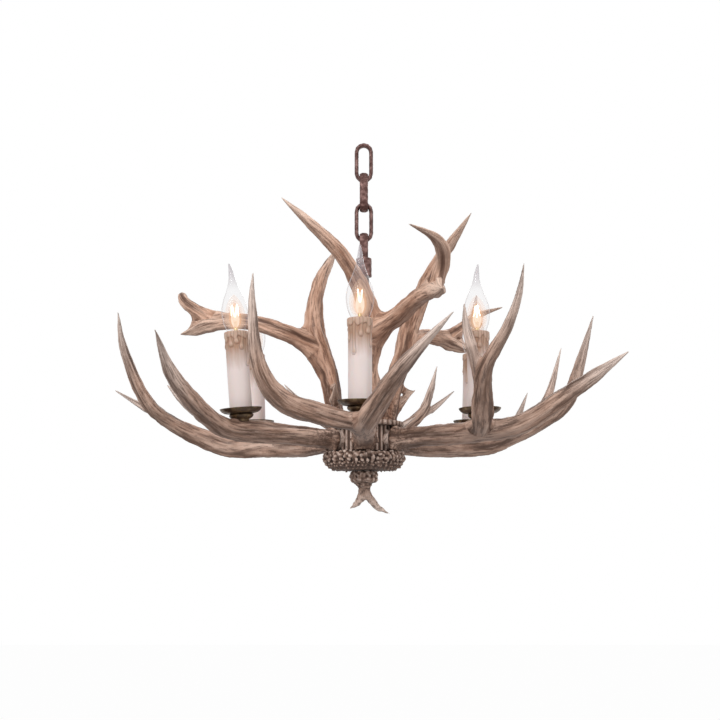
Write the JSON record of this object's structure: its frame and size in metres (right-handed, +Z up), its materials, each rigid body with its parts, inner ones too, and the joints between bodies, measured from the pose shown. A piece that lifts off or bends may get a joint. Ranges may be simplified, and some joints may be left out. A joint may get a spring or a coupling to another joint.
{
  "type": "antler chandelier",
  "caption": "Chandelier of branching antler arms round a fluted hub, with candle sleeves and flame-tip bulbs, upper antlers and a hanging chain.",
  "frame": {"origin": "the hang point, inside the top of the upper chain link, where a hook carries it", "axes": "+Z up, +X to the picture's right, +Y away from the viewer"},
  "size_m": [0.6429, 0.6039, 0.4802],
  "materials": {
    "antler_resin": "cast resin, grained and toned like shed antler, pale at the tips",
    "rusted_iron": "hammered, dark red-brown, satin",
    "aged_bronze": "dark olive bronze, satin",
    "candle_ivory": "cream wax look, stained tan at the top",
    "lampholder_plastic": "off-white thermoset, matt",
    "bulb_glass": "clear thin glass",
    "cap_brass": "bright screw cap and wires",
    "bush_rubber": "matt rubber",
    "dark_plate": "dark brown, satin",
    "zinc_steel": "zinc plated"
  },
  "bodies": {
    "top_link": {"chain_link_top": "rusted_iron"},
    "middle_link": {"chain_link_middle": "rusted_iron"},
    "lower_link": {"chain_link_lower": "rusted_iron"},
    "fixture": {"hanging_loop": "rusted_iron", "cord_bush": "bush_rubber", "stem_pipe": "zinc_steel", "stem_nuts_and_washers": "zinc_steel", "hub_body": "antler_resin", "burr_ring": "antler_resin", "arm_studs": "zinc_steel", "upper_antler_plate": "dark_plate", "antler_screws": "zinc_steel", "finial": "antler_resin", "candle_nipples": "zinc_steel", "arm_antler_front": "antler_resin", "arm_antler_front_right": "antler_resin", "arm_antler_back_right": "antler_resin", "arm_antler_back": "antler_resin", "arm_antler_back_left": "antler_resin", "arm_antler_front_left": "antler_resin", "antler_upper_left": "antler_resin", "antler_upper_front": "antler_resin", "antler_upper_right": "antler_resin", "candle_cup_front": "aged_bronze", "candle_cup_front_right": "aged_bronze", "candle_cup_back_right": "aged_bronze", "candle_cup_back": "aged_bronze", "candle_cup_back_left": "aged_bronze", "candle_cup_front_left": "aged_bronze", "drip_pan_front": "aged_bronze", "drip_pan_front_right": "aged_bronze", "drip_pan_back_right": "aged_bronze", "drip_pan_back": "aged_bronze", "drip_pan_back_left": "aged_bronze", "drip_pan_front_left": "aged_bronze", "candle_sleeve_front": "candle_ivory", "candle_sleeve_front_right": "candle_ivory", "candle_sleeve_back_right": "candle_ivory", "candle_sleeve_back": "candle_ivory", "candle_sleeve_back_left": "candle_ivory", "candle_sleeve_front_left": "candle_ivory", "lampholder_front": "lampholder_plastic", "lampholder_front_right": "lampholder_plastic", "lampholder_back_right": "lampholder_plastic", "lampholder_back": "lampholder_plastic", "lampholder_back_left": "lampholder_plastic", "lampholder_front_left": "lampholder_plastic"},
    "bulb_front": {"bulb_cap_front": "cap_brass", "bulb_glass_front": "bulb_glass"},
    "bulb_front_right": {"bulb_cap_front_right": "cap_brass", "bulb_glass_front_right": "bulb_glass"},
    "bulb_back_right": {"bulb_cap_back_right": "cap_brass", "bulb_glass_back_right": "bulb_glass"},
    "bulb_back": {"bulb_cap_back": "cap_brass", "bulb_glass_back": "bulb_glass"},
    "bulb_back_left": {"bulb_cap_back_left": "cap_brass", "bulb_glass_back_left": "bulb_glass"},
    "bulb_front_left": {"bulb_cap_front_left": "cap_brass", "bulb_glass_front_left": "bulb_glass"}
  },
  "joints": [
    {"name": "middle_link_swing", "type": "hinge", "parent": "top_link", "child": "middle_link", "pos_m": [0, 0, -0.04689], "axis": [1, 0, 0], "range_deg": [-30, 30]},
    {"name": "lower_link_swing", "type": "hinge", "parent": "middle_link", "child": "lower_link", "pos_m": [0, 0, -0.08698], "axis": [0, 1, 0], "range_deg": [-30, 30]},
    {"name": "fixture_swing", "type": "hinge", "parent": "lower_link", "child": "fixture", "pos_m": [0, 0, -0.12707], "axis": [1, 0, 0], "range_deg": [-25, 25]},
    {"name": "bulb_lift_front", "type": "slide", "parent": "fixture", "child": "bulb_front", "axis": [0, -0.0349, 0.9994], "range_m": [0, 0.03]},
    {"name": "bulb_lift_front_right", "type": "slide", "parent": "fixture", "child": "bulb_front_right", "axis": [-0.0151, 0.0087, 0.9998], "range_m": [0, 0.03]},
    {"name": "bulb_lift_back_right", "type": "slide", "parent": "fixture", "child": "bulb_back_right", "axis": [0.0378, 0.0218, 0.999], "range_m": [0, 0.03]},
    {"name": "bulb_lift_back", "type": "slide", "parent": "fixture", "child": "bulb_back", "axis": [0, 0.0436, 0.999], "range_m": [0, 0.03]},
    {"name": "bulb_lift_back_left", "type": "slide", "parent": "fixture", "child": "bulb_back_left", "axis": [-0.0378, 0.0218, 0.999], "range_m": [0, 0.03]},
    {"name": "bulb_lift_front_left", "type": "slide", "parent": "fixture", "child": "bulb_front_left", "axis": [-0.0755, -0.0436, 0.9962], "range_m": [0, 0.03]}
  ]
}
